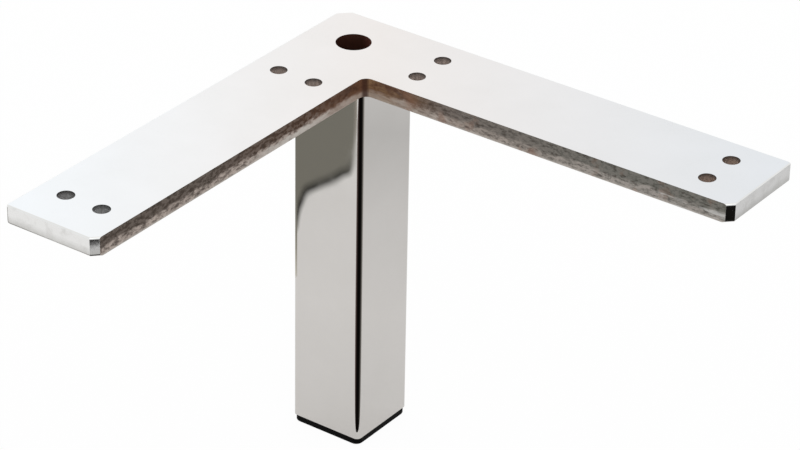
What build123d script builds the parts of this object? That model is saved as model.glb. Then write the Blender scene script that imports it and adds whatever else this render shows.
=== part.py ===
from build123d import *
import os

# Corner foot for a sofa or cabinet, in millimetres. An L shaped steel plate is screwed under the
# corner of the furniture, a square tube is welded below it, and a plastic cap closes the tube.
# The tube's axis is the Z axis and the floor is at Z = 0. One arm runs along +X, the other along -Y.

# Whole foot
overall_height = 165.0

# Plate
plate_thickness = 7.5
arm_width = 40.0
right_arm_length = 197.0
left_arm_length = 191.0
corner_chamfer = 4.5
end_chamfer = 2.5
outer_end_radius = 1.2
inner_corner_radius = 3.5
polished_edge_radius = 0.7
underside_edge_radius = 1.1

# Holes in the plate
screw_hole_diameter = 6.5
screw_row_spacing = 16.0
near_screws_from_edge = 55.0
far_screws_from_end = 17.5
corner_hole_diameter = 13.5

# Tube and the weld that joins it to the plate
tube_side = 32.0
tube_wall = 1.5
tube_corner_radius = 2.0
weld_leg = 2.5

# Foot cap
rim_height = 3.0
rim_inset = 0.2
rim_corner_radius = 3.0
rim_edge_radius = 0.6
plug_height = 15.0
plug_wall = 1.6
plug_gap = 0.7
barb_gap = 0.1
barb_height = 2.0
barb_pitch = 3.5
barb_count = 3
barb_side_share = 0.7

# Levels and edges that follow from the sizes above
plate_underside = overall_height - plate_thickness
tube_length = plate_underside - rim_height
tube_bore = tube_side - 2 * tube_wall
tube_bore_radius = max(tube_corner_radius - tube_wall, 0.1)
half_width = arm_width / 2
right_end = right_arm_length - half_width
left_end = left_arm_length - half_width
near_screws = near_screws_from_edge - half_width
far_screws_right = right_end - far_screws_from_end
far_screws_left = left_end - far_screws_from_end


def screws_of_arm(near, far):
    """Distance along the arm and offset across it, for the four screws of one arm."""
    offsets = (-screw_row_spacing / 2, screw_row_spacing / 2)
    return [(along, across) for along in (near, far) for across in offsets]


def outline_corner(x, y):
    """The corner of the plate's outline that lies nearest to a point."""
    return plate_outline.vertices().sort_by_distance((x, y, 0))[0]


def on_cut_side(edge):
    """True for the edges of the rough cut inner sides and of the inside corner between them."""
    middle = edge.center()
    tolerance = 0.01
    return middle.X > half_width - tolerance and middle.Y < tolerance - half_width


# Mounting plate: an L cut from thick plate, polished outside and left rough on its inner sides
with BuildPart() as mounting_plate:
    with BuildSketch(Plane.XY.offset(plate_underside)) as plate_outline:
        with Locations((-half_width, half_width)):
            Rectangle(right_arm_length, arm_width, align=(Align.MIN, Align.MAX))
            Rectangle(arm_width, left_arm_length, align=(Align.MIN, Align.MAX))
        chamfer(outline_corner(half_width, -left_end), length=end_chamfer)
        chamfer(outline_corner(right_end, -half_width), length=end_chamfer)
        chamfer(outline_corner(-half_width, half_width), length=corner_chamfer)
        fillet(outline_corner(-half_width, -left_end), radius=outer_end_radius)
        fillet(outline_corner(right_end, half_width), radius=outer_end_radius)
        fillet(outline_corner(half_width, -half_width), radius=inner_corner_radius)
    extrude(amount=plate_thickness)
    for side, radius in ((-1, polished_edge_radius), (0, underside_edge_radius)):
        rim = mounting_plate.faces().sort_by(Axis.Z)[side].edges()
        fillet([edge for edge in rim if not on_cut_side(edge)], radius=radius)
    with Locations(Plane.XY.offset(overall_height)):
        with Locations((0, 0)):
            Hole(corner_hole_diameter / 2)
        with Locations(screws_of_arm(near_screws, far_screws_right)):
            Hole(screw_hole_diameter / 2)
        with Locations([(across, -along) for along, across in screws_of_arm(near_screws, far_screws_left)]):
            Hole(screw_hole_diameter / 2)
mounting_plate.part.label = "mounting_plate"

# Leg tube: square steel tube, with the weld bead that runs round its top under the plate
with BuildPart() as leg_tube:
    with BuildSketch(Plane.XY.offset(rim_height)):
        RectangleRounded(tube_side, tube_side, tube_corner_radius)
    extrude(amount=tube_length)
    with BuildSketch(Plane.XY.offset(plate_underside - weld_leg)):
        RectangleRounded(tube_side, tube_side, tube_corner_radius)
    with BuildSketch(Plane.XY.offset(plate_underside)):
        RectangleRounded(tube_side + 2 * weld_leg, tube_side + 2 * weld_leg, tube_corner_radius + weld_leg)
    loft()
    with BuildSketch(Plane.XY.offset(rim_height)):
        RectangleRounded(tube_bore, tube_bore, tube_bore_radius)
    extrude(amount=tube_length, mode=Mode.SUBTRACT)
leg_tube.part.label = "leg_tube"

# Foot cap: a rim that carries the leg on the floor, and a hollow plug with barbs that grip the tube
rim_side = tube_side - 2 * rim_inset
plug_side = tube_bore - 2 * plug_gap
barb_reach = tube_bore / 2 - barb_gap
barb_root = plug_side / 2 - plug_wall / 2
barb_length = barb_side_share * plug_side
plug_top = rim_height + plug_height
top_barb = plug_top - barb_height - plug_gap

with BuildPart() as foot_cap:
    with BuildSketch():
        RectangleRounded(rim_side, rim_side, rim_corner_radius)
    extrude(amount=rim_height)
    fillet(foot_cap.faces().sort_by(Axis.Z)[0].edges(), radius=rim_edge_radius)
    with BuildSketch(Plane.XY.offset(rim_height)):
        RectangleRounded(plug_side, plug_side, tube_corner_radius)
        RectangleRounded(
            plug_side - 2 * plug_wall,
            plug_side - 2 * plug_wall,
            max(tube_corner_radius - plug_wall, 0.1),
            mode=Mode.SUBTRACT,
        )
    extrude(amount=plug_height)
    for side in range(4):
        with BuildSketch(Plane.XZ.rotated((0, 0, 90 * side))):
            for step in range(barb_count):
                level = top_barb - step * barb_pitch
                Polygon(
                    (barb_root, level),
                    (barb_reach, level),
                    (plug_side / 2, level + barb_height),
                    (barb_root, level + barb_height),
                    align=None,
                )
        extrude(amount=barb_length / 2, both=True)
foot_cap.part.label = "foot_cap"

# One file for each piece
os.makedirs("parts", exist_ok=True)
export_step(mounting_plate.part, "parts/mounting_plate.step")
export_step(leg_tube.part, "parts/leg_tube.step")
export_step(foot_cap.part, "parts/foot_cap.step")
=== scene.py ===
# %% [markdown]
# # A chromed corner foot
#
# This foot carries one corner of a sofa. A thick L-shaped plate is screwed under the frame, a
# square tube is welded below the corner, and a black plastic cap closes the tube. The lesson
# dresses the finished CAD solids: nothing is moved, and each surface gets the finish that its
# making would give it. The solids come in first, in metres, and they are all that is read.

# %% Load the foot
import math

import bmesh
import bpy
from mathutils import Matrix, Vector


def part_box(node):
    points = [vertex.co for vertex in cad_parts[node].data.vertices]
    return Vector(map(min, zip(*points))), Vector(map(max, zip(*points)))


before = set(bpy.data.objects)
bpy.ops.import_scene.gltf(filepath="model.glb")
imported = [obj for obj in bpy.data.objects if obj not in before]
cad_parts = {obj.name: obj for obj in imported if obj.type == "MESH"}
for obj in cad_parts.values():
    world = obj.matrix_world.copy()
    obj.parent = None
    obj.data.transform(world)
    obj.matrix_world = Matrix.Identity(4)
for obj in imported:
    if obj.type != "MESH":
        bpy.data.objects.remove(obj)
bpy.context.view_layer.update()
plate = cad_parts["mounting_plate"]
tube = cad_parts["leg_tube"]
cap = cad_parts["foot_cap"]
print("pieces", sorted(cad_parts))

# %% [markdown]
# The patterns below have to know where the plate's edges and holes are. All of that follows from
# the boxes of the solids, because the tube's axis is the Z axis and stands under the middle of
# the plate's corner: the plate reaches half an arm's width behind it.

# %% Measure the solids
MM = 0.001

plate_low, plate_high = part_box("mounting_plate")
tube_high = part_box("leg_tube")[1]
cap_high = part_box("foot_cap")[1]
half_arm = plate_high.y
plate_thickness = plate_high.z - plate_low.z
tube_half = cap_high.x
weld_leg = tube_high.x - tube_half
print("arm width", round(2 * half_arm / MM, 2), "mm, plate", round(plate_thickness / MM, 2), "mm thick")

# %% [markdown]
# Colours are written the way a colour picker shows them, as sRGB hex. Shaders want linear light,
# so one function turns the one into the other.

# %% Turn hex colours to linear light


def linear(hex_colour):
    """Linear RGBA of a colour such as #C8C6C2."""
    channels = [int(hex_colour[i:i + 2], 16) / 255 for i in (1, 3, 5)]
    return (*[c / 12.92 if c <= 0.04045 else ((c + 0.055) / 1.055) ** 2.4 for c in channels], 1.0)


print("mid grey", [round(c, 3) for c in linear("#808080")])

# %% [markdown]
# Every material below is a short chain of nodes. One helper adds a node, sets its properties, and
# fills its sockets with a number, a colour or another node's output.

# %% Add a node


def add(tree, kind, sockets=None, **settings):
    """A new node with its settings and links.

    Settings are the node's properties. Sockets maps an input's name or number to a number, a
    colour, an output, or another node, which stands for the first output that it has in use.
    """
    node = tree.nodes.new("ShaderNode" + kind)
    for name, value in settings.items():
        setattr(node, name, value)
    in_use = {socket.name: socket for socket in node.inputs if socket.enabled}
    for name, value in (sockets or {}).items():
        socket = in_use[name] if isinstance(name, str) else node.inputs[name]
        if isinstance(value, bpy.types.Node):
            value = next(output for output in value.outputs if output.enabled)
        if isinstance(value, bpy.types.NodeSocket):
            tree.links.new(value, socket)
        else:
            socket.default_value = value
    return node


def new_material(name):
    """An empty material and its tree."""
    material = bpy.data.materials.new(name)
    material.use_nodes = True
    material.node_tree.nodes.clear()
    return material, material.node_tree


print("helper ready")

# %% [markdown]
# Masks say where a finish applies. A Map Range node makes one: it goes from 0 to 1 between two
# values, and is sharp where they are a few hundredths of a millimetre apart. Masks multiplied
# hold only where they overlap. Clouds of noise break up what would look too even, and each is
# given the size of its real blotches.

# %% Describe masks and patterns


def span(low, high, bottom=0.0, top=1.0):
    """A Map Range that goes from bottom to top while its value goes from low to high."""
    return {"From Min": low, "From Max": high, "To Min": bottom, "To Max": top}


def sharp(edge, width=0.02 * MM):
    """A Map Range that steps from 0 to 1 at an edge."""
    return span(edge - width, edge + width)


def clouds(size, detail, roughness=0.55):
    """Noise whose blotches are about the given size in metres."""
    return {"Scale": 1 / size, "Detail": detail, "Roughness": roughness}


def overlap(tree, mask, *others):
    """1 where every mask is 1."""
    for other in others:
        mask = add(tree, "Math", {0: mask, 1: other}, operation="MULTIPLY")
    return mask


print("sharp step at 5 mm:", sharp(5 * MM))

# %% [markdown]
# A finish is the colour, roughness and height that one way of working gives a surface, here kept
# under the names of the shader's own sockets. Finishes are laid over one another by their masks,
# and in the end the whole pile goes to one shader, where the height becomes bump.

# %% Lay finishes over one another


def coats(tree, colour, *layers):
    """A colour with others laid over it in turn, each given as its mask and its colour."""
    for mask, coat in layers:
        below, above = [linear(c) if isinstance(c, str) else c for c in (colour, coat)]
        colour = add(tree, "Mix", {"Factor": mask, "A": below, "B": above}, data_type="RGBA")
    return colour


def cover(tree, below, mask, above):
    """A finish with another laid over it where the mask is 1."""
    finish = {}
    for name, value in below.items():
        kind = "RGBA" if name == "Base Color" else "FLOAT"
        finish[name] = add(tree, "Mix", {"Factor": mask, "A": value, "B": above[name]}, data_type=kind)
    return finish


def to_shader(tree, finish, numbers):
    """Connects a finish, and numbers that are the same all over, to the material's output."""
    values = {name: value for name, value in finish.items() if name != "Height"}
    bump = add(tree, "Bump", {"Height": finish["Height"], "Strength": 1.0, "Distance": 1.0})
    shader = add(tree, "BsdfPrincipled", {**values, "Normal": bump, **numbers})
    add(tree, "OutputMaterial", {"Surface": shader})


def dress(piece, material):
    """Gives a piece its material."""
    for slot in piece.material_slots:
        slot.material = material
    print(piece.name, "wears", material.name)


print("finishes can be laid")

# %% [markdown]
# ## Bright chrome on ground steel
#
# Decorative chrome is a hair-thin hard layer over bright nickel. It shows whatever was done to the
# steel before plating: here a polish that left the flats very slightly wavy and a few faint
# smears. The waves are about 30 mm long and a few thousandths of a millimetre high, which bends
# reflections gently without blurring them. Chrome reflects about two thirds of the light, a touch
# warmer than neutral over nickel.

# %% Describe the chrome
CHROME_LIGHT = "#D2D1CF"
CHROME_DARK = "#CBCAC7"
CHROME_ROUGHNESS = 0.02
SMEAR_ROUGHNESS = 0.07
SMEARS = clouds(22 * MM, detail=4.0)
SMEARED = span(0.52, 0.75, CHROME_ROUGHNESS, SMEAR_ROUGHNESS)
WAVES = clouds(30 * MM, detail=1.0)
WAVE_HEIGHT = 0.006 * MM


def chrome(tree, place):
    """The finish of the polished and plated flats."""
    smears = add(tree, "TexNoise", {"Vector": place, **SMEARS})
    waves = add(tree, "TexNoise", {"Vector": place, **WAVES})
    return {
        "Base Color": coats(tree, CHROME_LIGHT, (smears, CHROME_DARK)),
        "Roughness": add(tree, "MapRange", {"Value": smears, **SMEARED}),
        "Height": add(tree, "Math", {0: waves, 1: WAVE_HEIGHT}, operation="MULTIPLY"),
    }


print("chrome roughness", CHROME_ROUGHNESS)

# %% [markdown]
# ## The cut sides of the plate
#
# The two inner sides were cut by flame and never ground. A flame cut leaves scale: the upper part
# is dark brown, the lower part, where the molten steel ran off, is paler and greyer, and the line
# between them wanders. The right arm has scale of its own, which starts just past the leg, and
# both arms grow greyer towards their far ends. The masks for all of that come first.

# %% Divide the cut sides
FLECKS = clouds(1.3 * MM, detail=3.0, roughness=0.7)
BLOTCHES = clouds(3.5 * MM, detail=2.0)
BLOTCHED = span(0.5, 0.6)
BOUNDARY = clouds(3 * MM, detail=3.0, roughness=0.6)
BOUNDARY_WANDER = 0.4
BOUNDARY_SHIFT = (0.005, -0.01)
PALE_BAND = span(0.51, 0.41)
RIGHT_ARM = (half_arm + 5 * MM, half_arm + 45 * MM)
LEFT_FAR = span(50 * MM, 110 * MM)
RIGHT_FAR = span(60 * MM, 130 * MM)


def cut_zones(tree, place, x, forward, z):
    """Masks and noise that the colours of a cut side follow."""
    height = add(tree, "MapRange", {"Value": z, **span(plate_low.z, plate_high.z)})
    boundary = add(tree, "TexNoise", {"Vector": place, **BOUNDARY})
    wander = add(tree, "Mix", {"Factor": BOUNDARY_WANDER, "A": height, "B": boundary})
    shift = add(tree, "MapRange", {"Value": x, **span(*RIGHT_ARM, *BOUNDARY_SHIFT)})
    wander = add(tree, "Math", {0: wander, 1: shift}, operation="ADD")
    blotches = add(tree, "TexNoise", {"Vector": place, **BLOTCHES})
    return {
        "height": height,
        "wander": wander,
        "pale": add(tree, "MapRange", {"Value": wander, **PALE_BAND}),
        "flecks": add(tree, "TexNoise", {"Vector": place, **FLECKS}),
        "blotched": add(tree, "MapRange", {"Value": blotches, **BLOTCHED}),
        "right": add(tree, "MapRange", {"Value": x, **span(*RIGHT_ARM)}),
        "right_far": add(tree, "MapRange", {"Value": x, **RIGHT_FAR}),
        "left_far": add(tree, "MapRange", {"Value": forward, **LEFT_FAR}),
    }


print("right arm's scale starts", round(RIGHT_ARM[0] / MM, 1), "mm from the tube's axis")

# %% [markdown]
# Pale flecks and dark pits about a millimetre wide break up the scale, the flecks mostly in the
# lower part. Beside the leg on the left arm the lower edge is nearly bare steel, where the welder
# cleaned it, and the arris at the very bottom is rubbed bright on both arms.

# %% Colour the scale of the flame cut
SCALE_BROWN = "#472D19"
SCALE_GREY = "#4C423A"
SCALE_OLIVE = "#67605A"
SCALE_FAR = "#65645D"
SCALE_PIT = "#3A3029"
FLECK_LEFT = "#BBADA3"
FLECK_RIGHT = "#A89C92"
FLECK_FAR = "#A59D96"
BARE_STEEL = "#BDB6AE"
FLECKED = (0.47, 0.54)
UPPER_FLECKS = (0.15, 0.2)
LOWER_FLECKS = (0.38, 0.88)
BLOTCH_SHARE = 0.3
PITTED = span(0.45, 0.36, 0.0, 0.65)
BARE_EDGE = span(0.42, 0.34)
BARE_REACH = span(95 * MM, 70 * MM)
BARE_UNDER_BLOTCH = 0.35
ARRIS = span(0.14, 0.0, 0.0, 0.85)


def bare_steel(tree, zones, forward):
    """How bare the lower edge of a cut side is."""
    left = add(tree, "Math", {0: 1.0, 1: zones["right"]}, operation="SUBTRACT")
    blotched = {"Value": zones["blotched"], **span(0.0, 1.0, 1.0, BARE_UNDER_BLOTCH)}
    cleaned = overlap(
        tree,
        add(tree, "MapRange", {"Value": zones["wander"], **BARE_EDGE}),
        add(tree, "MapRange", {"Value": forward, **BARE_REACH}),
        left,
        add(tree, "MapRange", blotched),
    )
    arris = add(tree, "MapRange", {"Value": zones["height"], **ARRIS})
    return add(tree, "Math", {0: cleaned, 1: arris}, operation="MAXIMUM")


def scale_colour(tree, zones, forward):
    """Colour of the scale before any rust."""
    flecks = zones["flecks"]
    dark = coats(
        tree, SCALE_BROWN,
        (zones["left_far"], SCALE_GREY), (zones["right"], SCALE_OLIVE), (zones["right_far"], SCALE_FAR),
    )
    fleck = coats(tree, FLECK_LEFT, (zones["right"], FLECK_RIGHT), (zones["right_far"], FLECK_FAR))
    upper_share = add(tree, "MapRange", {"Value": zones["right"], **span(0.0, 1.0, *UPPER_FLECKS)})
    upper_flecks = overlap(tree, add(tree, "MapRange", {"Value": flecks, **span(*FLECKED)}), upper_share)
    lower_flecks = add(tree, "MapRange", {"Value": flecks, **span(*FLECKED, *LOWER_FLECKS)})
    upper = coats(tree, dark, (upper_flecks, fleck))
    dark_blotches = overlap(tree, zones["blotched"], BLOTCH_SHARE)
    lower = coats(tree, dark, (lower_flecks, fleck), (dark_blotches, dark))
    pits = add(tree, "MapRange", {"Value": flecks, **PITTED})
    bare = bare_steel(tree, zones, forward)
    return coats(tree, upper, (zones["pale"], lower), (pits, SCALE_PIT), (bare, BARE_STEEL))


print("fleck size", round(1 / FLECKS["Scale"] / MM, 1), "mm")

# %% [markdown]
# Towards the inside corner the scale turns to red-brown rust, lighter on the right arm, and the
# corner itself is darkest. A few red spots lie further out on the right arm, and near its end
# something has scraped the scale to pale streaks.

# %% Add rust, scrapes and the dark corner
RUST_LEFT = ("#472A19", "#66442F")
RUST_RIGHT = ("#573826", "#846547")
RUST_PALE = ("#A08675", "#8C735D")
RED_SPOT = "#7C5844"
SCRAPED = "#C4C2BE"
# The cut sides are coloured darker within about two millimetres of the inside corner.
CORNER_DARK = "#371A0E"
RUST_CLOUDS = clouds(3 * MM, detail=4.0, roughness=0.7)
RUST_PATCHES = span(0.4, 0.58)
RUST_REACH = span(2 * half_arm + 36 * MM, 2 * half_arm + 4 * MM)
RUST_STRENGTH = span(0.0, 1.0, 0.95, 0.7)
RUST_THROUGH_PALE = 0.35
ACROSS_CORNER = sharp(0.0, 1.5 * MM)
SPOTS = clouds(9 * MM, detail=3.0)
SPOTTED = span(0.55, 0.68, 0.0, 0.5)
SCRAPES = clouds(1.6 * MM, detail=3.0)
SCRAPE_MARKS = span(0.5, 0.6, 0.0, 0.75)
SCRAPE_REACH = span(125 * MM, 150 * MM)
SCRAPE_STRETCH = (0.12, 1, 1)
CORNER_DARK_REACH = span(2 * half_arm + 2.6 * MM, 2 * half_arm + 2.1 * MM, 0.0, 0.85)


def rust_coat(tree, place, x, forward, from_corner, pale):
    """Mask and colour of the rust beside the inside corner, and the mask of the right arm."""
    sides = add(tree, "Math", {0: x, 1: forward}, operation="SUBTRACT")
    right = add(tree, "MapRange", {"Value": sides, **ACROSS_CORNER})
    rust_clouds = add(tree, "TexNoise", {"Vector": place, **RUST_CLOUDS})
    patches = add(tree, "MapRange", {"Value": rust_clouds, **RUST_PATCHES})
    left_rust = coats(tree, RUST_LEFT[0], (patches, RUST_LEFT[1]))
    right_rust = coats(tree, RUST_RIGHT[0], (patches, RUST_RIGHT[1]))
    rust = coats(tree, left_rust, (right, right_rust))
    pale_rust = coats(tree, RUST_PALE[0], (right, RUST_PALE[1]), (RUST_THROUGH_PALE, rust))
    near_corner = add(tree, "MapRange", {"Value": from_corner, **RUST_REACH})
    strength = add(tree, "MapRange", {"Value": pale, **RUST_STRENGTH})
    return overlap(tree, near_corner, strength), coats(tree, rust, (pale, pale_rust)), right


def scrape_mask(tree, place, x, pale):
    """Where the end of the right arm is scraped."""
    drawn_out = add(tree, "Mapping", {"Vector": place, "Scale": SCRAPE_STRETCH})
    scrapes = add(tree, "TexNoise", {"Vector": drawn_out, **SCRAPES})
    marks = add(tree, "MapRange", {"Value": scrapes, **SCRAPE_MARKS})
    return overlap(tree, marks, add(tree, "MapRange", {"Value": x, **SCRAPE_REACH}), pale)


print("rust reaches", round((RUST_REACH["From Min"] - 2 * half_arm) / MM, 1), "mm along the arms")

# %% [markdown]
# The flame moved along the arms, so flecks, blotches and rust are about twice as long as they are
# high. Its drag lines run straight down the side, about a millimetre apart, so their noise is
# stretched along Z. Scale hardly shines, and its relief is under half a millimetre.

# %% Finish the cut sides
ALONG_THE_CUT = (0.45, 0.45, 1.0)
DRAG_LINES = clouds(1.1 * MM, detail=2.0)
DRAG_STRETCH = (1, 1, 0.12)
FLECK_RELIEF = 0.8
CUT_RELIEF = 0.4 * MM
CUT_ROUGHNESS = span(0.0, 1.0, 0.75, 0.55)
CUT_METAL = 0.1


def flame_cut(tree, place, x, forward, z):
    """The finish of a flame-cut side."""
    along = add(tree, "Mapping", {"Vector": place, "Scale": ALONG_THE_CUT})
    zones = cut_zones(tree, along, x, forward, z)
    pale = zones["pale"]
    from_corner = add(tree, "Math", {0: x, 1: forward}, operation="ADD")
    rusted, rust, right = rust_coat(tree, along, x, forward, from_corner, pale)
    spots = add(tree, "TexNoise", {"Vector": place, **SPOTS})
    spotted = overlap(tree, right, add(tree, "MapRange", {"Value": spots, **SPOTTED}))
    # Darker within about two millimetres of the inside corner.
    corner_darkened = add(tree, "MapRange", {"Value": from_corner, **CORNER_DARK_REACH})
    colour = coats(
        tree, scale_colour(tree, zones, forward),
        (rusted, rust), (spotted, RED_SPOT), (scrape_mask(tree, place, x, pale), SCRAPED), (corner_darkened, CORNER_DARK),
    )
    dragged = add(tree, "Mapping", {"Vector": place, "Scale": DRAG_STRETCH})
    lines = add(tree, "TexNoise", {"Vector": dragged, **DRAG_LINES})
    relief = add(tree, "Mix", {"Factor": FLECK_RELIEF, "A": lines, "B": zones["flecks"]})
    return {
        "Base Color": colour,
        "Roughness": add(tree, "MapRange", {"Value": pale, **CUT_ROUGHNESS}),
        "Height": add(tree, "Math", {0: relief, 1: CUT_RELIEF}, operation="MULTIPLY"),
        "Metallic": CUT_METAL,
    }


print("drag lines every", round(1 / DRAG_LINES["Scale"] / MM, 1), "mm")

# %% [markdown]
# ## The holes
#
# The walls of the drilled holes missed the polishing wheel, and the plating hardly reaches in. They
# look dull: grey on the left arm, browner with rust towards the end of the right arm, and darkest
# in the big corner hole. The mouth of each hole is painted darker, painted shade where the rim
# shadows the wall. A wall belongs to a hole where it lies well inside the arm.

# %% Find the hole walls
EDGE_INSET = 5 * MM


def between(tree, value, low, high):
    """1 where the value lies between two limits, with a ramp of 1 mm inside them."""
    middle, half = (low + high) / 2, (high - low) / 2
    offset = add(tree, "Math", {0: value, 1: middle}, operation="SUBTRACT")
    distance = add(tree, "Math", {0: offset}, operation="ABSOLUTE")
    return add(tree, "MapRange", {"Value": distance, **span(half, half - MM)})


def inside_arms(tree, x, forward):
    """1 well inside the two arms, where the holes are."""
    inside = half_arm - EDGE_INSET
    across_right = between(tree, forward, -inside, inside)
    along_right = between(tree, x, -inside, plate_high.x - EDGE_INSET)
    across_left = between(tree, x, -inside, inside)
    along_left = between(tree, forward, -inside, -plate_low.y - EDGE_INSET)
    right_arm = overlap(tree, across_right, along_right)
    left_arm = overlap(tree, across_left, along_left)
    return add(tree, "Math", {0: right_arm, 1: left_arm}, operation="MAXIMUM")


print("hole walls lie", round((half_arm - EDGE_INSET) / MM, 1), "mm or less from the middle of an arm")

# %% [markdown]
# Drips and dirt run straight down a bore, so the noise on its walls is stretched along Z. One side
# of the corner hole is painted lighter and redder: painted light, where the light still reaches it.

# %% Finish the hole walls
HOLE_GREY = "#CACBCB"
HOLE_DULL = "#DACFC8"
HOLE_BROWN = "#D2C2B6"
HOLE_DARK = "#4E3026"
# The mouth's dark colour is painted shade under the rim of the hole.
HOLE_MOUTH_SHADE = "#35302D"
BORE_BROWN = "#5E3C30"
# Painted light: the side of the corner hole that the light reaches is painted in this lighter colour.
BORE_LIT_SIDE = "#9A6256"
HOLE_ROUGHNESS = 0.38
HOLE_METAL = 0.7
HOLE_COLOUR_REACH = span(60 * MM, 130 * MM)
STREAKS = clouds(0.9 * MM, detail=2.0)
STREAK_STRETCH = (1, 1, 0.15)
STREAKED = span(0.65, 0.35, 0.0, 0.3)
# Painted shade: darkest at the top of the wall, fading out 2 mm down.
MOUTH_SHADE_REACH = span(plate_high.z - 2.0 * MM, plate_high.z - 0.3 * MM, 0.0, 0.78)
CORNER_HOLE = span(10 * MM, 9 * MM)
LIT_SIDE_REACH = span(-MM, 5 * MM)


def hole_wall(tree, place, x, forward, z, height):
    """The finish of the hole walls, with the height of the plate's other walls."""
    drawn_out = add(tree, "Mapping", {"Vector": place, "Scale": STREAK_STRETCH})
    streaks = add(tree, "TexNoise", {"Vector": drawn_out, **STREAKS})
    level = add(tree, "VectorMath", {0: place, 1: (1, 1, 0)}, operation="MULTIPLY")
    from_axis = add(tree, "VectorMath", {0: level}, operation="LENGTH")
    # Painted light on one side of the corner hole, by X.
    lit_side = add(tree, "MapRange", {"Value": x, **LIT_SIDE_REACH})
    colour = coats(
        tree, HOLE_DULL,
        (add(tree, "MapRange", {"Value": forward, **HOLE_COLOUR_REACH}), HOLE_GREY),
        (add(tree, "MapRange", {"Value": x, **HOLE_COLOUR_REACH}), HOLE_BROWN),
        (add(tree, "MapRange", {"Value": streaks, **STREAKED}), HOLE_DARK),
        (add(tree, "MapRange", {"Value": z, **MOUTH_SHADE_REACH}), HOLE_MOUTH_SHADE),
        (
            add(tree, "MapRange", {"Value": from_axis, **CORNER_HOLE}),
            coats(tree, BORE_BROWN, (lit_side, BORE_LIT_SIDE)),
        ),
    )
    return {"Base Color": colour, "Roughness": HOLE_ROUGHNESS, "Height": height, "Metallic": HOLE_METAL}


print("hole roughness", HOLE_ROUGHNESS)

# %% [markdown]
# ## The ground edges
#
# The outer edges were ground before they were plated. They are a little mottled and rougher than the
# flats. Along the lower edge they are painted greyer, a painted reflection of the shaded floor under
# the plate. The small facets at the ends of the cut sides face the open side of the L and are nearly
# as smooth as the flats.

# %% Finish the ground edges
EDGE_CHROME = "#CFD1D1"
EDGE_GREY = "#ADAEAC"
# A painted reflection of the shaded floor under the plate, laid along the lower edge.
LOWER_EDGE_SHADE = "#AFB0AE"
EDGE_ROUGHNESS = span(0.0, 1.0, 0.08, 0.24)
EDGE_MOTTLE = clouds(4 * MM, detail=3.0, roughness=0.6)
EDGE_PATCHES = span(0.5, 0.7, 0.0, 0.35)
EDGE_RELIEF = 0.035 * MM
SHADED_LOWER_EDGE = span(plate_low.z + 3.8 * MM, plate_low.z + 1.2 * MM)
LOWER_SHADE_MOTTLE = span(0.0, 1.0, 0.4, 1.0)
FACET_WAY = (0.7071, -0.7071, 0.0)
FACET_TURN = (0.85, 0.95)
FACET_ROUGHNESS = 0.05
FACET_RELIEF = 0.0035 * MM


def ground_edge(tree, place, z, normal):
    """The finish of the plated outer edges."""
    mottle = add(tree, "TexNoise", {"Vector": place, **EDGE_MOTTLE})
    patches = add(tree, "MapRange", {"Value": mottle, **EDGE_PATCHES})
    # The lower edge is painted greyer, as a painted reflection of the shaded floor under the plate.
    low = overlap(
        tree,
        add(tree, "MapRange", {"Value": z, **SHADED_LOWER_EDGE}),
        add(tree, "MapRange", {"Value": mottle, **LOWER_SHADE_MOTTLE}),
    )
    turn = add(tree, "VectorMath", {0: normal, 1: FACET_WAY}, operation="DOT_PRODUCT")
    facet = add(tree, "MapRange", {"Value": turn, **span(*FACET_TURN)})
    roughness = add(tree, "MapRange", {"Value": mottle, **EDGE_ROUGHNESS})
    relief = add(tree, "MapRange", {"Value": turn, **span(*FACET_TURN, EDGE_RELIEF, FACET_RELIEF)})
    return {
        "Base Color": coats(tree, EDGE_CHROME, (patches, EDGE_GREY), (low, LOWER_EDGE_SHADE)),
        "Roughness": add(tree, "Mix", {"Factor": facet, "A": roughness, "B": FACET_ROUGHNESS}),
        "Height": overlap(tree, mottle, relief),
        "Metallic": 1.0,
    }


print("edge mottle", round(1 / EDGE_MOTTLE["Scale"] / MM, 1), "mm")

# %% [markdown]
# ## One material for the plate
#
# The plate is one solid with one material, so masks choose between its finishes. The normal in
# object space tells a wall from a flat: on a wall its Z is near 0. A wall belongs to the flame cut
# where it lies beyond both inner edges of the L.

# %% Finish the plate
WALLS = span(0.7, 0.6)
CUT_TOLERANCE = 0.05 * MM
SCALE_SPECULAR = 0.2


def finish_plate():
    """Bright chrome outside, flame-cut scale inside, dull walls in the holes."""
    material, tree = new_material("chromed_steel_with_flame_cut_sides")
    coordinates = add(tree, "TexCoord")
    place = coordinates.outputs["Object"]
    normal = coordinates.outputs["Normal"]
    x, y, z = add(tree, "SeparateXYZ", {0: place}).outputs
    forward = add(tree, "Math", {0: y, 1: -1.0}, operation="MULTIPLY")
    normal_z = add(tree, "SeparateXYZ", {0: normal}).outputs[2]
    flatness = add(tree, "Math", {0: normal_z}, operation="ABSOLUTE")
    wall = add(tree, "MapRange", {"Value": flatness, **WALLS})
    past_inner_edge = sharp(half_arm - CUT_TOLERANCE)
    cut = overlap(
        tree, wall,
        add(tree, "MapRange", {"Value": x, **past_inner_edge}),
        add(tree, "MapRange", {"Value": forward, **past_inner_edge}),
    )
    edge = ground_edge(tree, place, z, normal)
    finish = cover(tree, {**chrome(tree, place), "Metallic": 1.0}, wall, edge)
    finish = cover(tree, finish, cut, flame_cut(tree, place, x, forward, z))
    hole = overlap(tree, wall, inside_arms(tree, x, forward))
    finish = cover(tree, finish, hole, hole_wall(tree, place, x, forward, z, edge["Height"]))
    to_shader(tree, finish, {"Specular IOR Level": SCALE_SPECULAR})
    return material


dress(plate, finish_plate())

# %% [markdown]
# ## The tube
#
# The leg is drawn square tube, polished and plated like the plate. Inside it was never polished or
# plated, so it stays dark mill steel, which is what one sees down the corner hole. The weld under
# the plate is a bead laid by hand: plated over, but rippled and less bright than the flats.

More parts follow.
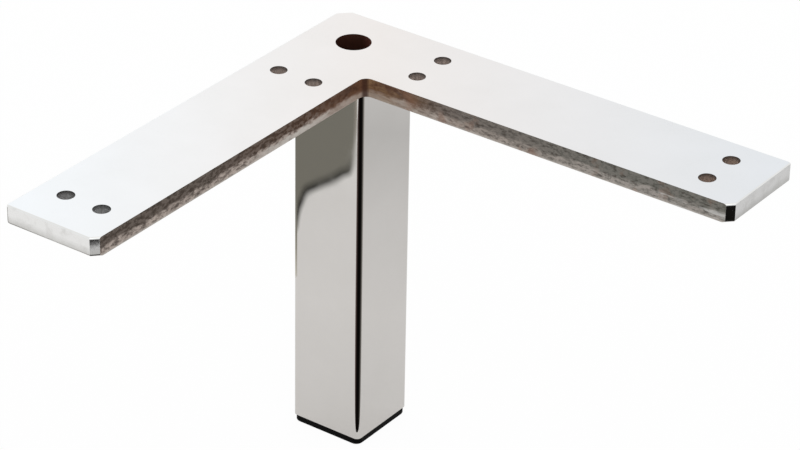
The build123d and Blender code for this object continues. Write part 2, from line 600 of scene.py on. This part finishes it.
# %% Finish the tube
MILL_STEEL = "#3A3430"
MILL_ROUGHNESS = 0.7
BEAD_COLOUR = "#A9A39B"
BEAD_ROUGHNESS = 0.3
BEAD_RIPPLES = clouds(2.2 * MM, detail=2.0)
BEAD_RELIEF = 0.3 * MM
OUTSIDE = sharp(tube_half - MM, 0.1 * MM)
PROUD_OF_TUBE = sharp(tube_half + 0.02 * MM)


def finish_tube():
    """Bright chrome outside, mill steel inside, a rippled bead at the top."""
    material, tree = new_material("chromed_square_tube")
    place = add(tree, "TexCoord").outputs["Object"]
    x, y, z = add(tree, "SeparateXYZ", {0: place}).outputs
    across = add(tree, "Math", {0: x}, operation="ABSOLUTE")
    along = add(tree, "Math", {0: y}, operation="ABSOLUTE")
    reach = add(tree, "Math", {0: across, 1: along}, operation="MAXIMUM")
    outside = add(tree, "MapRange", {"Value": reach, **OUTSIDE})
    bead = overlap(
        tree,
        add(tree, "MapRange", {"Value": z, **sharp(tube_high.z - weld_leg)}),
        add(tree, "MapRange", {"Value": reach, **PROUD_OF_TUBE}),
    )
    ripples = add(tree, "TexNoise", {"Vector": place, **BEAD_RIPPLES})
    weld = {
        "Base Color": linear(BEAD_COLOUR),
        "Roughness": BEAD_ROUGHNESS,
        "Height": add(tree, "Math", {0: ripples, 1: BEAD_RELIEF}, operation="MULTIPLY"),
    }
    finish = cover(tree, chrome(tree, place), bead, weld)
    bore = {"Base Color": linear(MILL_STEEL), "Roughness": MILL_ROUGHNESS, "Height": finish["Height"]}
    to_shader(tree, cover(tree, bore, outside, finish), {"Metallic": 1.0})
    return material


dress(tube, finish_tube())

# %% [markdown]
# ## The cap
#
# End caps are moulded in black polyethylene. The tool was spark eroded, which leaves a fine even
# grain and a soft sheen, and the floor has scuffed the underside a little greyer. The real grain
# is finer than a render can show, so it is drawn at half a millimetre. The specular level is low,
# because the white room would bleach the thin rim.

# %% Finish the cap
CAP_BLACK = "#060606"
CAP_SCUFF = "#262524"
CAP_ROUGHNESS = span(0.0, 1.0, 0.42, 0.6)
CAP_SPECULAR = 0.04
MOULD_GRAIN = clouds(0.5 * MM, detail=2.0)
GRAIN_RELIEF = 0.03 * MM
SCUFFS = clouds(6 * MM, detail=6.0, roughness=0.7)
SOLE = span(0.6 * MM, 0.0)


def finish_cap():
    """Black moulded plastic with a fine grain and a scuffed sole."""
    material, tree = new_material("moulded_black_polyethylene")
    place = add(tree, "TexCoord").outputs["Object"]
    z = add(tree, "SeparateXYZ", {0: place}).outputs[2]
    grain = add(tree, "TexNoise", {"Vector": place, **MOULD_GRAIN})
    scuffs = add(tree, "TexNoise", {"Vector": place, **SCUFFS})
    scuffed = overlap(tree, add(tree, "MapRange", {"Value": z, **SOLE}), scuffs)
    finish = {
        "Base Color": coats(tree, CAP_BLACK, (scuffed, CAP_SCUFF)),
        "Roughness": add(tree, "MapRange", {"Value": scuffs, **CAP_ROUGHNESS}),
        "Height": add(tree, "Math", {0: grain, 1: GRAIN_RELIEF}, operation="MULTIPLY"),
    }
    to_shader(tree, finish, {"Specular IOR Level": CAP_SPECULAR})
    return material


dress(cap, finish_cap())

# %% [markdown]
# ## The camera
#
# A long lens looks down on the foot from the open side of the L. Azimuth and elevation give the
# direction from which it looks, and the aim lies on the plate's top.

# %% Place the camera
AZIMUTH = math.radians(35.68)
ELEVATION = math.radians(29.74)
ROLL = math.radians(1.04)
DISTANCE = 1190.5 * MM
AIM = Vector((94.6 * MM, -100.05 * MM, plate_high.z))
SENSOR = 36.0
FOCAL_LENGTH = 158.4

toward_camera = Vector((
    math.sin(AZIMUTH) * math.cos(ELEVATION),
    -math.cos(AZIMUTH) * math.cos(ELEVATION),
    math.sin(ELEVATION),
))
camera = bpy.data.objects.new("camera", bpy.data.cameras.new("camera"))
bpy.context.scene.collection.objects.link(camera)
camera.data.sensor_width = SENSOR
camera.data.lens = FOCAL_LENGTH
stand = Matrix.Translation(AIM + toward_camera * DISTANCE)
look = (-toward_camera).to_track_quat("-Z", "Y").to_matrix().to_4x4()
camera.matrix_world = stand @ look @ Matrix.Rotation(ROLL, 4, "Z")
bpy.context.scene.camera = camera
print("camera at", [round(v, 3) for v in camera.matrix_world.translation])

# %% [markdown]
# ## The studio
#
# Chrome has no look of its own: it shows the room. The plate's top mirrors a large soft light
# behind the foot, the tube's faces mirror the white floor, and dark cards lying on the floor
# outside the picture give the black line along the tube's front edge and the dark shape on its
# left face. The camera and the mirrors see a white floor, and everything else sees plain paper.

# %% Tell the camera and the mirrors from the rest


def ramp(tree, value, stops):
    """The colours of the stops at their values, and blends in between."""
    first, last = stops[0][0], stops[-1][0]
    share = add(tree, "MapRange", {"Value": value, **span(first, last)})
    node = add(tree, "ValToRGB", {0: share})
    points = node.color_ramp.elements
    for at, colour in stops[1:-1]:
        points.new((at - first) / (last - first))
    for point, (at, colour) in zip(points, stops):
        point.color = colour
    return node


def watchers(tree):
    """Masks that are 1 for what the camera sees, and for what mirrors and glass show."""
    rays = add(tree, "LightPath").outputs
    kinds = {0: rays["Is Glossy Ray"], 1: rays["Is Transmission Ray"]}
    return rays["Is Camera Ray"], add(tree, "Math", kinds, operation="MAXIMUM")


def flat_sheet(name, corners):
    """A flat stage sheet through the given corners."""
    mesh = bpy.data.meshes.new(name)
    sheet = bmesh.new()
    sheet.faces.new([sheet.verts.new(corner) for corner in corners])
    bmesh.ops.recalc_face_normals(sheet, faces=sheet.faces)
    sheet.to_mesh(mesh)
    sheet.free()
    thing = bpy.data.objects.new(name, mesh)
    bpy.context.scene.collection.objects.link(thing)
    return thing


print("stage helpers ready")

# %% [markdown]
# The tube's left face mirrors the floor on one side of the foot, and its right face the floor on
# the other side, both along one line. What the mirrors see of the floor grows brighter and darker
# along that line, which gives each face its slow gradient. The levels stand at distances in
# millimetres from the tube, below zero in the left face and above it in the right.

# %% Lay the floor
SQUARE = ((-1, -1), (1, -1), (1, 1), (-1, 1))
FLOOR_SIZE = 8.0
FLOOR_PAPER = "#F6F5F3"
CAMERA_WHITE = "#FFFFFF"
MIRRORED_WHITE = "#FFFBF9"
CAMERA_GLOW = 0.96
MIRRORED_GLOW = 0.7
FLOOR_LEVELS = [
    (-430, 1.43), (-300, 1.15), (-196, 0.967), (-110, 0.998), (-40, 0.926), (35, 0.87),
    (96, 0.936), (183, 0.82), (255, 0.64), (330, 0.82), (385, 0.903),
]
MIRRORED_LINE = (0.586, 0.81, 0.0)


def white_paper():
    """Plain paper that the camera and the mirrors see as nearly white, with a soft shadow left on it."""
    material, tree = new_material("white_paper")
    seen, mirrored = watchers(tree)
    place = add(tree, "TexCoord").outputs["Object"]
    along = add(tree, "VectorMath", {0: place, 1: MIRRORED_LINE}, operation="DOT_PRODUCT")
    brightest = max(level for at, level in FLOOR_LEVELS)
    greys = [(at * MM, level / brightest) for at, level in FLOOR_LEVELS]
    shares = ramp(tree, along, [(at, (grey, grey, grey, 1)) for at, grey in greys])
    strength = add(tree, "Mix", {"Factor": seen, "A": overlap(tree, shares, brightest), "B": 1.0})
    glow_share = {"Factor": seen, "A": overlap(tree, mirrored, MIRRORED_GLOW), "B": CAMERA_GLOW}
    paper = add(tree, "BsdfDiffuse", {"Color": linear(FLOOR_PAPER)})
    tint = coats(tree, MIRRORED_WHITE, (seen, CAMERA_WHITE))
    glow = add(tree, "Emission", {"Color": tint, "Strength": strength})
    mix = add(tree, "MixShader", {0: add(tree, "Mix", glow_share), 1: paper, 2: glow})
    add(tree, "OutputMaterial", {"Surface": mix})
    return material


half_floor = FLOOR_SIZE / 2
floor_corners = [(half_floor * a, half_floor * b, 0.0) for a, b in SQUARE]
floor = flat_sheet("floor", floor_corners)
floor.data.materials.append(white_paper())
print("floor", FLOOR_SIZE, "m square")

# %% [markdown]
# ## The dark cards
#
# The cards are there for the mirrors alone, so the camera doesn't see them and they cast no
# shadow. The side card is drawn as its image shows on the tube's left face, in millimetres across
# and up, and laid on the floor where the face mirrors it. Along its wavy edge runs a dark line,
# darkest about a hundred millimetres up. The line fades out to the floor's tone, or to a brownish
# strip near the top, and fades in to the card's own grey. Tones are given at heights.

# %% Draw the side card
SIDE_TONE = "#8A877E"
FLOOR_TONE = "#F9F7F5"
LINE_TONE = "#504F4B"
DARKEST_TONE = "#2A2927"
STRIP_TONE = "#ABA298"
CARD_LEVEL = 0.5 * MM
SIDE_CARD_LEVEL = 1.0 * MM
SIDE_EDGE = [
    (12.3, 165), (12.35, 147), (12.3, 140), (12.2, 136.3), (12.1, 132.8), (12.0, 129.0),
    (11.8, 125.0), (11.1, 121.5), (10.0, 119.6), (7.3, 118.0), (4.4, 115.2), (1.5, 112.8),
    (-2.2, 110.4), (-6.0, 107.6), (-9.5, 105.0), (-10.8, 102.8), (-11.8, 99.8), (-13.0, 96.8),
    (-13.6, 93.9), (-14.0, 91.2), (-14.3, 88.4), (-16.5, 84),
]
LINE_TONES = [
    (84, SIDE_TONE), (91, LINE_TONE), (103, DARKEST_TONE), (111, LINE_TONE), (118, LINE_TONE),
    (128, SIDE_TONE),
]
BEYOND_TONES = [(126, FLOOR_TONE), (142, STRIP_TONE)]
SIDE_FAR = [(-150, 84), (-150, 165)]
RIM_OFFSET = (-1.2, 3.1)
FADE_OFFSET = (1.6, -2.2)


def smoothed(points):
    """The same line with its corners cut twice, a quarter of the way along each stretch."""
    for _ in range(2):
        inner = []
        for a, b in zip(points, points[1:]):
            inner += [[(1 - t) * p + t * q for p, q in zip(a, b)] for t in (0.25, 0.75)]
        points = [points[0], *inner, points[-1]]
    return points


def tone_at(height, tones):
    """The tone at a height, blended between the two tones that stand next to it."""
    for (low, below), (high, above) in zip(tones, tones[1:]):
        if height <= high:
            share = max(0.0, (height - low) / (high - low))
            return [(1 - share) * a + share * b for a, b in zip(linear(below), linear(above))]
    return linear(tones[-1][1])


def mirrored_on_floor(across, height):
    """The floor point that the camera sees mirrored at a place on the tube's left face."""
    seen = Vector((across * MM, -tube_half, height * MM))
    way = seen - camera.matrix_world.translation
    way.y = -way.y
    return (seen + way * (seen.z / -way.z)).xy


def side_card():
    """The side card, whose dark line fades out to the floor's tone and in to the card's own."""
    line = [
        (across, height, *tone_at(height, LINE_TONES), *tone_at(height, BEYOND_TONES))
        for across, height in SIDE_EDGE
    ]
    card = bmesh.new()
    tones = card.verts.layers.float_color.new("tone")

    def corner(across, height, tone, offset=(0, 0)):
        place = mirrored_on_floor(across + offset[0], height + offset[1])
        vertex = card.verts.new((*place, SIDE_CARD_LEVEL))
        vertex[tones] = tone
        return vertex

    rows = []
    for across, height, *colours in smoothed(line):
        outer = corner(across, height, colours[4:], FADE_OFFSET)
        middle = corner(across, height, colours[:4])
        inner = corner(across, height, linear(SIDE_TONE), RIM_OFFSET)
        rows.append((outer, middle, inner))
    for first, second in zip(rows, rows[1:]):
        for i in (0, 1):
            card.faces.new((first[i], second[i], second[i + 1], first[i + 1]))
    far = [corner(across, height, linear(SIDE_TONE)) for across, height in SIDE_FAR]
    card.faces.new([row[2] for row in rows] + far)
    mesh = bpy.data.meshes.new("side_card")
    card.to_mesh(mesh)
    card.free()
    sheet = bpy.data.objects.new("side_card", mesh)
    bpy.context.scene.collection.objects.link(sheet)
    return sheet


def drawn_tone(tree):
    """The tone that is kept with each corner of a card's mesh."""
    return add(tree, "Attribute", attribute_name="tone")


print("side card's edge has", len(SIDE_EDGE), "points")

# %% [markdown]
# The front card starts just below the picture and points along the camera's line. The tube's
# rounded front edge mirrors all of it, so its tones change with the angle round that edge: black
# straight ahead, and lighter to both sides. Its corners are given in millimetres out from the edge
# and to the right. The edge card lies round the left of the tube, where its tones change with the
# distance, and darkens the tube's rounded left edge.

# %% Lay the dark cards
FRONT_TONES = [
    (-72, "#A99B98"), (-52, "#5A4B48"), (-34, "#1C1614"), (0, "#0A0808"), (34, "#161412"),
    (54, "#524F4B"), (72, "#A09C98"), (95, "#D5D1CC"),
]
FRONT_CARD = [
    (8, -5), (8, 300), (460, 300), (460, -60), (398.5, -60), (398.5, 150), (300, 150),
    (300, -240), (102, -240),
]
EDGE_TONES = [(112, "#DDD8CF"), (135, "#ACA79C"), (162, SIDE_TONE), (300, SIDE_TONE)]
EDGE_SECTOR = (-76, -100, -130, -160, -185)

front_edge = Vector((tube_half, -tube_half, 0))
left_edge = Vector((-tube_half, -tube_half, 0))
ahead = Vector((math.sin(AZIMUTH), -math.cos(AZIMUTH), 0))
sideways = Vector((math.cos(AZIMUTH), math.sin(AZIMUTH), 0))
card_lift = Vector((0, 0, CARD_LEVEL))


def front_tone(tree):
    """The front card's tone, which follows the angle round the tube's front edge."""
    place = add(tree, "TexCoord").outputs["Object"]
    offset = add(tree, "VectorMath", {0: place, 1: front_edge}, operation="SUBTRACT")
    out = add(tree, "VectorMath", {0: offset, 1: ahead}, operation="DOT_PRODUCT")
    aside = add(tree, "VectorMath", {0: offset, 1: sideways}, operation="DOT_PRODUCT")
    angle = add(tree, "Math", {0: aside, 1: out}, operation="ARCTAN2")
    return ramp(tree, angle, [(math.radians(at), linear(tone)) for at, tone in FRONT_TONES])


def edge_tone(tree):
    """The edge card's tone, which follows the distance from the tube's left edge."""
    place = add(tree, "TexCoord").outputs["Object"]
    distance = add(tree, "VectorMath", {0: place, 1: left_edge}, operation="DISTANCE")
    return ramp(tree, distance, [(at * MM, linear(tone)) for at, tone in EDGE_TONES])


def show_to_mirrors(card, make_tone):
    """Makes a card glow in its tones and hides it from everything but the mirrors."""
    material, tree = new_material(card.name)
    glow = add(tree, "Emission", {"Color": make_tone(tree)})
    add(tree, "OutputMaterial", {"Surface": glow})
    card.data.materials.append(material)
    card.visible_camera = False
    card.visible_diffuse = False
    card.visible_shadow = False


front_corners = [
    front_edge + card_lift + ahead * out * MM + sideways * aside * MM for out, aside in FRONT_CARD
]
turns = [math.radians(at) for at in EDGE_SECTOR]
rays = [ahead * math.cos(at) + sideways * math.sin(at) for at in turns]
near, far = EDGE_TONES[0][0] * MM, EDGE_TONES[-1][0] * MM
edge_corners = [left_edge + card_lift + ray * near for ray in rays]
edge_corners += [left_edge + card_lift + ray * far for ray in reversed(rays)]
cards = [
    (flat_sheet("front_card", front_corners), front_tone),
    (side_card(), drawn_tone),
    (flat_sheet("edge_card", edge_corners), edge_tone),
]
for card, make_tone in cards:
    show_to_mirrors(card, make_tone)
print("cards laid:", [card.name for card, _ in cards])

# %% [markdown]
# ## The lights
#
# The big soft box hangs where the plate's top mirrors it into the lens: the camera's line of
# sight, turned back up at the plate, finds it. It is a glowing sheet a little brighter and cooler
# at its left, as a box with its tube at one side is, and that gives the plate's top its slow
# gradient. Its brightness is what the mirror shows before the chrome takes its third.

# %% Hang the soft box
BOX_SIZE = (2.4, 1.6)
BOX_DISTANCE = 1.5
BOX_BRIGHTNESS = (1.595, 1.36)
BOX_REACH = (-0.28, 0.32)
BOX_LEFT = "#F4F9FF"
BOX_MIDDLE = "#F4F1F1"
BOX_RIGHT = "#F3F8FF"

plate_middle = Vector((plate_high.x / 3, plate_low.y / 3, plate_high.z))
mirrored_sight = Vector((-toward_camera.x, -toward_camera.y, toward_camera.z))
box_middle = plate_middle + mirrored_sight * BOX_DISTANCE
half_side = sideways * BOX_SIZE[0] / 2
half_up = sideways.cross(mirrored_sight) * BOX_SIZE[1] / 2


def box_glow():
    """A glow that is brighter at the box's left, and cooler at both sides."""
    material, tree = new_material("soft_box")
    place = add(tree, "TexCoord").outputs["Object"]
    across = add(tree, "VectorMath", {0: place, 1: sideways}, operation="DOT_PRODUCT")
    strength = add(tree, "MapRange", {"Value": across, **span(*BOX_REACH, *BOX_BRIGHTNESS)})
    to_middle = add(tree, "MapRange", {"Value": across, **span(BOX_REACH[0], 0.0)})
    to_right = add(tree, "MapRange", {"Value": across, **span(0.0, BOX_REACH[1])})
    colour = coats(tree, BOX_LEFT, (to_middle, BOX_MIDDLE), (to_right, BOX_RIGHT))
    glow = add(tree, "Emission", {"Color": colour, "Strength": strength})
    add(tree, "OutputMaterial", {"Surface": glow})
    return material


box_corners = [box_middle + half_side * a + half_up * b for a, b in SQUARE]
soft_box = flat_sheet("soft_box", box_corners)
soft_box.data.materials.append(box_glow())
soft_box.visible_camera = False
soft_box.visible_shadow = False
print("soft box at", [round(v, 2) for v in box_middle])

# %% [markdown]
# A second soft light hangs on the camera's side and lights the cut sides. A lamp's power spreads
# over its area, so the power follows from the brightness that is wanted.

# %% Hang the fill light
FILL_BRIGHTNESS = 1.0
FILL_SIZE = (1.4, 1.0)
FILL_DISTANCE = 1.6
FILL_LIFT = Vector((0, 0, 0.6))

fill_way = (toward_camera + FILL_LIFT).normalized()
fill_data = bpy.data.lights.new("fill_light", "AREA")
fill_data.shape = "RECTANGLE"
fill_data.size, fill_data.size_y = FILL_SIZE
fill_data.energy = FILL_BRIGHTNESS * math.pi * FILL_SIZE[0] * FILL_SIZE[1]
fill = bpy.data.objects.new("fill_light", fill_data)
fill.location = plate_middle + fill_way * FILL_DISTANCE
fill.rotation_euler = fill_way.to_track_quat("Z", "Y").to_euler()
fill.visible_camera = False
bpy.context.scene.collection.objects.link(fill)
print("fill light at", [round(v, 2) for v in fill.location])

# %% [markdown]
# The rest of the room is white for the camera, a little brighter in the mirrors, so that the
# plate's rounded edges catch a highlight, and a dimmer even light for everything else.

# %% Fill the room with light
ROOM_COLOUR = "#F4F5F7"
ROOM_STRENGTH = 0.85
ROOM_MIRRORED = 1.25

world = bpy.data.worlds.new("studio")
bpy.context.scene.world = world
world.use_nodes = True
room = world.node_tree
room.nodes.clear()
room_seen, room_mirrored = watchers(room)
room_shown = add(room, "Math", {0: room_seen, 1: room_mirrored}, operation="MAXIMUM")
room_light = add(room, "Background", {"Color": linear(ROOM_COLOUR), "Strength": ROOM_STRENGTH})
white_strength = add(room, "Mix", {"Factor": room_seen, "A": ROOM_MIRRORED, "B": 1.0})
room_white = add(room, "Background", {"Color": linear(CAMERA_WHITE), "Strength": white_strength})
room_mix = add(room, "MixShader", {0: room_shown, 1: room_light, 2: room_white})
add(room, "OutputWorld", {"Surface": room_mix})
bpy.context.scene.view_settings.view_transform = "Standard"
print("room strength", ROOM_STRENGTH)
